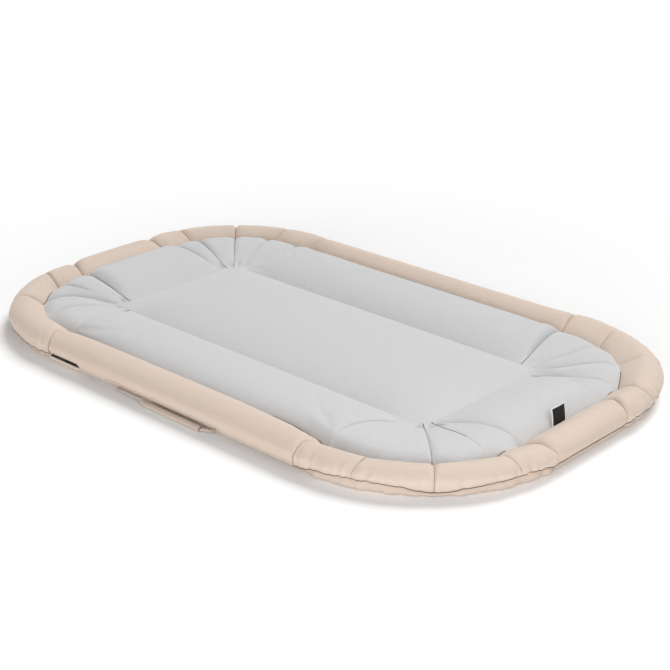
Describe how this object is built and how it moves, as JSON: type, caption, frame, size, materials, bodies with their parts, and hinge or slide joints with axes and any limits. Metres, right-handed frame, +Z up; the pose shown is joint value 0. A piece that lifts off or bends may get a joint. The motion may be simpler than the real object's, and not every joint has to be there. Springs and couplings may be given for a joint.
{
  "type": "infant lounger",
  "caption": "Flat-laid padded infant lounger: foam mattress pad in stuffed white bolsters, beige quilted band, hem zip and carry handles.",
  "frame": {"origin": "on the floor under the middle of the lounger's box, in the plane of the base cloth", "axes": "+X along the length to the foot end (the end with the woven tab), -Y to the long side with the zip, +Z up"},
  "size_m": [0.9918, 0.6204, 0.0554],
  "materials": {
    "white_jersey": "matte",
    "beige_sateen": "satin",
    "base_cotton": "matte",
    "foam": "matte",
    "zip_tape": "matte",
    "zip_metal": "satin",
    "tab_weave": "matte"
  },
  "bodies": {
    "root": {"base_panel": "base_cotton", "foam_core": "foam", "pad_cover": "white_jersey", "hem_skirt": "beige_sateen", "zip_track": "zip_tape", "side_bolster_far": "white_jersey", "side_bolster_near": "white_jersey", "end_bolster_foot": "white_jersey", "end_bolster_head": "white_jersey", "gusset_foot_far_1": "white_jersey", "gusset_foot_far_2": "white_jersey", "gusset_foot_far_3": "white_jersey", "gusset_foot_far_4": "white_jersey", "gusset_foot_near_1": "white_jersey", "gusset_foot_near_2": "white_jersey", "gusset_foot_near_3": "white_jersey", "gusset_foot_near_4": "white_jersey", "gusset_head_far_1": "white_jersey", "gusset_head_far_2": "white_jersey", "gusset_head_far_3": "white_jersey", "gusset_head_far_4": "white_jersey", "gusset_head_near_1": "white_jersey", "gusset_head_near_2": "white_jersey", "gusset_head_near_3": "white_jersey", "gusset_head_near_4": "white_jersey", "side_band_far": "beige_sateen", "side_band_near": "beige_sateen", "end_band_foot": "beige_sateen", "end_band_head": "beige_sateen", "band_foot_far_1": "beige_sateen", "band_foot_far_2": "beige_sateen", "band_foot_far_3": "beige_sateen", "band_foot_far_4": "beige_sateen", "band_foot_near_1": "beige_sateen", "band_foot_near_2": "beige_sateen", "band_foot_near_3": "beige_sateen", "band_foot_near_4": "beige_sateen", "band_head_far_1": "beige_sateen", "band_head_far_2": "beige_sateen", "band_head_far_3": "beige_sateen", "band_head_far_4": "beige_sateen", "band_head_near_1": "beige_sateen", "band_head_near_2": "beige_sateen", "band_head_near_3": "beige_sateen", "band_head_near_4": "beige_sateen", "handle_anchor_far_a": "beige_sateen", "handle_anchor_far_b": "beige_sateen", "handle_anchor_near_a": "beige_sateen", "handle_anchor_near_b": "beige_sateen"},
    "zip_slider": {"zip_slider": "zip_metal"},
    "zip_puller": {"zip_puller": "zip_metal"},
    "handle_near": {"handle_webbing_near": "beige_sateen", "handle_sleeve_near": "beige_sateen"},
    "handle_far": {"handle_webbing_far": "beige_sateen", "handle_sleeve_far": "beige_sateen"},
    "tab": {"woven_tab": "tab_weave"}
  },
  "joints": [
    {"name": "zip_travel", "type": "slide", "parent": "root", "child": "zip_slider", "axis": [1, 0, 0], "range_m": [0, 0.479]},
    {"name": "puller_swing", "type": "hinge", "parent": "zip_slider", "child": "zip_puller", "pos_m": [-0.2405, -0.30225, 0.015], "axis": [0, 0, -1], "range_deg": [0, 170]},
    {"name": "handle_near_swing", "type": "hinge", "parent": "root", "child": "handle_near", "pos_m": [0, -0.29755, 0.00732], "axis": [-1, 0, 0], "range_deg": [0, 46]},
    {"name": "handle_far_swing", "type": "hinge", "parent": "root", "child": "handle_far", "pos_m": [0, 0.29755, 0.00732], "axis": [1, 0, 0], "range_deg": [0, 46]},
    {"name": "tab_flex", "type": "hinge", "parent": "root", "child": "tab", "pos_m": [0.442, -0.016, 0.03258], "axis": [0, 1, 0], "range_deg": [-18, 55]}
  ]
}
